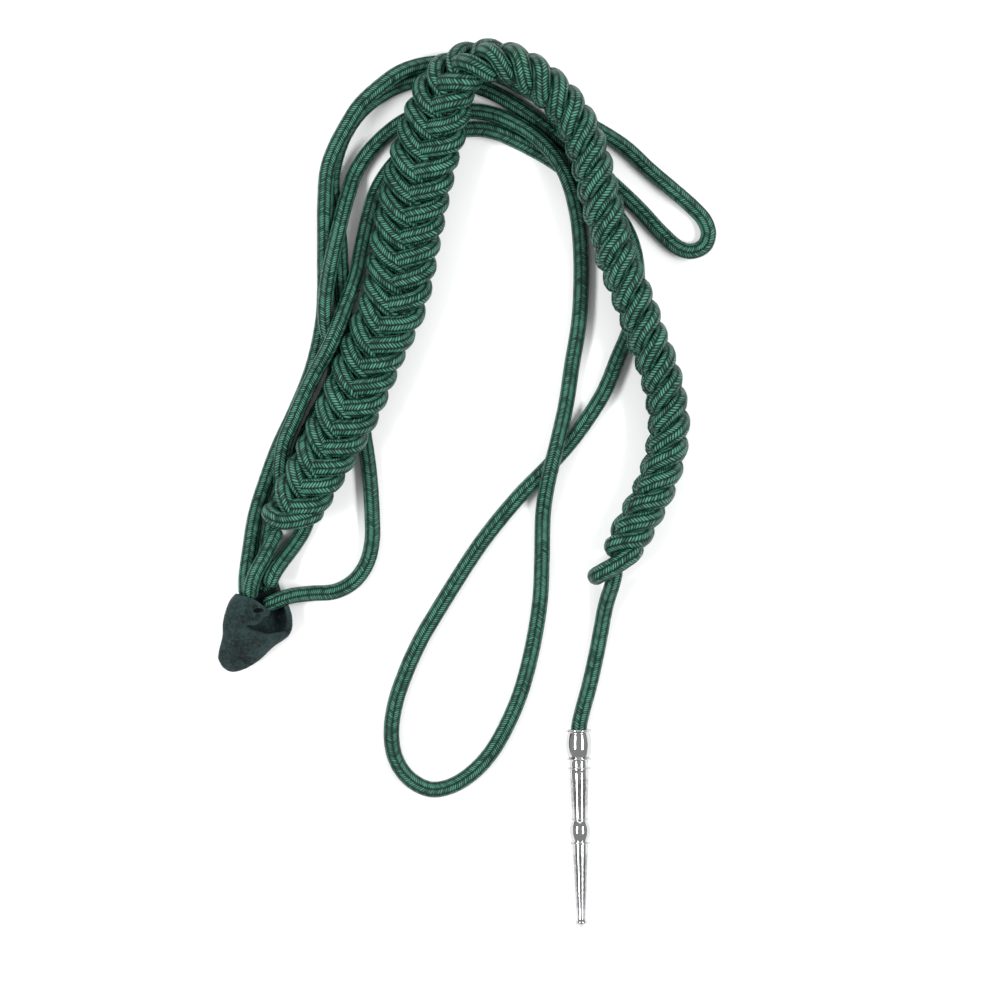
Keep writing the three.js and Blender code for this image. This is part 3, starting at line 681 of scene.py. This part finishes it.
def feltMaterial():
    # Short fibres over soft clouds, matt, with a faint sheen
    r = Recipe("tabFelt")
    place = r.node("ShaderNodeTexCoord").outputs["Object"]
    fibres = r.node("ShaderNodeTexNoise")
    fibres.inputs["Scale"].default_value = fleece["fibreScale"]
    fibres.inputs["Detail"].default_value = fleece["fibreDetail"]
    fibres.inputs["Roughness"].default_value = fleece["fibreRoughness"]
    cloud = r.node("ShaderNodeTexNoise")
    cloud.inputs["Scale"].default_value = fleece["cloudScale"]
    cloud.inputs["Detail"].default_value = fleece["cloudDetail"]
    for texture in (fibres, cloud):
        r.feed(place, texture.inputs["Vector"])
    fine = r.maths("MULTIPLY", fibres.outputs[0], fleece["fibreShare"])
    tone = r.maths("ADD", fine, r.maths("MULTIPLY", cloud.outputs[0], fleece["cloudShare"]))
    stops = [(fleece["colourAt"], fleece["colour"]), (fleece["lightAt"], fleece["light"])]
    r.feed(r.ramp(tone, stops), r.shader.inputs["Base Color"])
    r.shader.inputs["Roughness"].default_value = fleece["roughness"]
    r.shader.inputs["Specular IOR Level"].default_value = fleece["specular"]
    r.shader.inputs["Sheen Weight"].default_value = fleece["sheen"]
    r.shader.inputs["Sheen Roughness"].default_value = fleece["sheenRoughness"]
    r.shader.inputs["Sheen Tint"].default_value = (*fleece["sheenTint"], 1)
    clouded = r.bump(cloud.outputs[0], fleece["cloudRelief"], fleece["cloudStrength"])
    napped = r.bump(fibres.outputs[0], fleece["fibreRelief"], fleece["fibreStrength"], clouded)
    r.feed(napped, r.shader.inputs["Normal"])
    return r.material


def feltRings():
    # Rings from the table, each a squared-off ellipse with evenly spaced points, drawn to a round end: places
    # seen from above, each ring's half width and half height, and how high a point is, from -1 to 1
    place = np.arange(len(feltTable)) / (len(feltTable) - 1)
    table = smoothLine(np.column_stack([feltTable, place]), 0.01)[0]
    share = np.linspace(0, 1, felt["stations"])
    rows = np.stack([np.interp(share, table[:, 5], table[:, k]) for k in range(5)], -1)
    size = np.array([felt["width"], felt["length"]])
    left, right = rows[:, 0:2] * size, rows[:, 2:4] * size
    closing = np.clip(share - felt["closeFrom"], 0, 1) / (1 - felt["closeFrom"])
    close = np.sqrt(np.clip(1 - closing**2, 0, 1))
    middle, half = (left + right) / 2, (right - left) / 2 * np.maximum(close, felt["endWidth"])[:, None]
    tall = rows[:, 4] * felt["height"] / 2 * (felt["endHeight"] + (1 - felt["endHeight"]) * close)
    angle = np.linspace(0, 2 * np.pi, 8 * felt["sides"] + 1)
    sideways = np.sign(np.cos(angle)) * np.abs(np.cos(angle)) ** felt["squareness"]
    bulge = np.minimum(1, felt["flatness"] * np.abs(np.sin(angle)) ** felt["squareness"])
    upward = np.sign(np.sin(angle)) * bulge
    girth = summed(np.hypot(felt["width"] * np.diff(sideways), felt["height"] * np.diff(upward)))
    even = np.linspace(0, girth[-1], felt["sides"], endpoint=False)
    sideways, upward = np.interp(even, girth, sideways), np.interp(even, girth, upward)
    plan = middle[:, None] + half[:, None] * sideways[None, :, None] + np.array(felt["corner"])
    return plan, np.linalg.norm(half, axis=1), tall, upward


def pressed(height, top, across, along):
    # The top's height with a crease across the lower end, soft waves, and a lip that sinks toward the mouth
    creaseLine = felt["creaseAt"][1] - felt["creaseFall"] * (across - felt["creaseAt"][0])
    dent = felt["creaseDepth"] * np.exp(-(((along - creaseLine) / felt["creaseWidth"]) ** 2))
    fadeFrom, fadeOver = felt["creaseFade"]
    height = height - top * dent * np.clip((across - fadeFrom) / fadeOver, 0, 1)
    (a, b), (c, d) = felt["waves"]
    wave = np.sin(a * across + b * along) * np.sin(c * across + d * along)
    height = height + top * felt["waveHeight"] * wave
    toMouth = ontoEdge(mouthEdge, np.stack([across.ravel(), along.ravel()], -1))[1].reshape(height.shape)
    return height - top * felt["lip"] * np.exp(-((toMouth / felt["lipWidth"]) ** 2))


def cutAway(quads, across, along, height):
    # The faces taken away: those that lie inside an outline and above its height
    low, a, b = height[quads].min(axis=-1), across[quads].mean(axis=-1), along[quads].mean(axis=-1)
    entry = insideOf(entryEdge, a, b) & (low > felt["wall"] + felt["entryAbove"])
    mouth = insideOf(mouthEdge, a, b) & (low > felt["mouthAbove"])
    slit = insideOf(slitEdge, a, b) & (low > felt["slitAbove"])
    return entry | mouth | slit


def usedOnly(points, faces):
    # Points that no face uses are left out, and the faces' numbers follow
    used, numbers = np.unique(np.concatenate([block.ravel() for block in faces]), return_inverse=True)
    parts = np.split(numbers.ravel(), np.cumsum([block.size for block in faces])[:-1])
    return points[used], [part.reshape(block.shape) for part, block in zip(parts, faces)]


def rollFelt():
    # The pressed rings, cut open at the entry, the mouth and the slit, then given their wall
    plan, halfWidth, halfHeight, upward = feltRings()
    across = (plan[..., 0] - felt["corner"][0]) / felt["width"]
    along = (plan[..., 1] - felt["corner"][1]) / felt["length"]
    height = pressed(halfHeight[:, None] * (1 + upward), np.clip(upward, 0, 1), across, along)
    here, beside = ringGrid(felt["stations"], felt["sides"])[2:]
    quads = np.stack([here, beside, beside + felt["sides"], here + felt["sides"]], -1)
    gone = cutAway(quads, across.ravel(), along.ravel(), height.ravel())
    # Outward directions of the uncut roll, then the cut's rim moved on to its outline, along the surface
    skin = np.concatenate([plan, height[..., None]], -1)
    outward = np.cross(np.roll(skin, -1, axis=1) - np.roll(skin, 1, axis=1), np.gradient(skin, axis=0))
    outward = (outward / np.maximum(np.linalg.norm(outward, axis=-1, keepdims=True), tiny)).reshape(-1, 3)
    outer = skin.reshape(-1, 3)
    rim = np.intersect1d(quads[gone], quads[~gone])
    shares = np.stack([across.ravel(), along.ravel()], -1)[rim]
    for edge in (entryEdge, mouthEdge, slitEdge):
        place, off = ontoEdge(edge, shares)
        moved = np.where((off < felt["reach"])[:, None], place - shares, 0.0)
        moved *= [felt["width"], felt["length"]]
        outer[rim, :2] += moved
        outer[rim, 2] -= (outward[rim, :2] * moved).sum(-1) / np.maximum(outward[rim, 2], felt["steepest"])
    # The inner face at the wall's thickness, thinner where the roll closes
    thick = np.minimum(felt["wall"], felt["wallShare"] * np.minimum(halfWidth, halfHeight))
    inner = outer - outward * np.repeat(thick, felt["sides"])[:, None]
    # The closed end, and every edge that only one face has, joined to the same edge of the inner face
    kept = quads[~gone]
    end = (np.arange(felt["sides"]) + (felt["stations"] - 1) * felt["sides"])[None, :]
    begin = np.concatenate([kept.ravel(), end.ravel()])
    finish = np.concatenate([np.roll(kept, -1, axis=1).ravel(), np.roll(end, -1, axis=1).ravel()])
    single = ~np.isin(begin * len(outer) + finish, finish * len(outer) + begin)
    begin, finish = begin[single], finish[single]
    joint = np.stack([finish, begin, begin + len(outer), finish + len(outer)], -1)
    faces = [kept, end, kept[:, ::-1] + len(outer), end[:, ::-1] + len(outer), joint]
    points, faces = usedOnly(np.vstack([outer, inner]), faces)
    return makePiece("feltTab", points + routeShift, faces, feltMaterial())


feltTab = rollFelt()
feltTab.data.set_sharp_from_angle(angle=np.radians(felt["sharpAbove"]))
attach(feltTab, "root")
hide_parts("felt_tab")
print("felt rolled")

# Floor and light
studio = {
    "floor": (0.87, 0.87, 0.87),
    "floorRoughness": 0.9,
    "floorHalf": 2500.0,  # millimetres
    "world": (1, 1, 1),
    "worldStrength": 0.45,
}
floorLook = Recipe("paleFloor")
floorLook.shader.inputs["Base Color"].default_value = (*studio["floor"], 1)
floorLook.shader.inputs["Roughness"].default_value = studio["floorRoughness"]
floorCorners = np.array([[-1, -1, 0], [1, -1, 0], [1, 1, 0], [-1, 1, 0]]) * studio["floorHalf"]
floor = makePiece("floor", floorCorners, [np.array([[0, 1, 2, 3]])], floorLook.material)

# Soft boxes: place and size in metres, and watts
lamps = {
    "leftBox": ((-0.95, 0.0, 1.35), (1.1, 0.36), 26.0),
    "rightBox": ((0.95, 0.0, 1.35), (1.1, 0.36), 26.0),
    "farBox": ((0.0, 1.6, 1.2), (1.2, 1.2), 10.0),
}
for name, (place, size, power) in lamps.items():
    lamp = bpy.data.objects.new(name, bpy.data.lights.new(name, "AREA"))
    lamp.data.shape = "RECTANGLE"
    lamp.data.size, lamp.data.size_y = size
    lamp.data.energy = power
    lamp.location = place
    # Turned to face the origin
    toward = -np.array(place)
    fall = np.arctan2(np.hypot(toward[0], toward[1]), -toward[2])
    lamp.rotation_euler = (fall, 0, np.arctan2(toward[1], toward[0]) - np.pi / 2)
    bpy.context.collection.objects.link(lamp)

world = bpy.data.worlds.new("studio")
world.use_nodes = True
world.node_tree.nodes["Background"].inputs[0].default_value = (*studio["world"], 1)
world.node_tree.nodes["Background"].inputs[1].default_value = studio["worldStrength"]
bpy.context.scene.world = world
bpy.context.scene.view_settings.view_transform = "Standard"
print("studio lit")
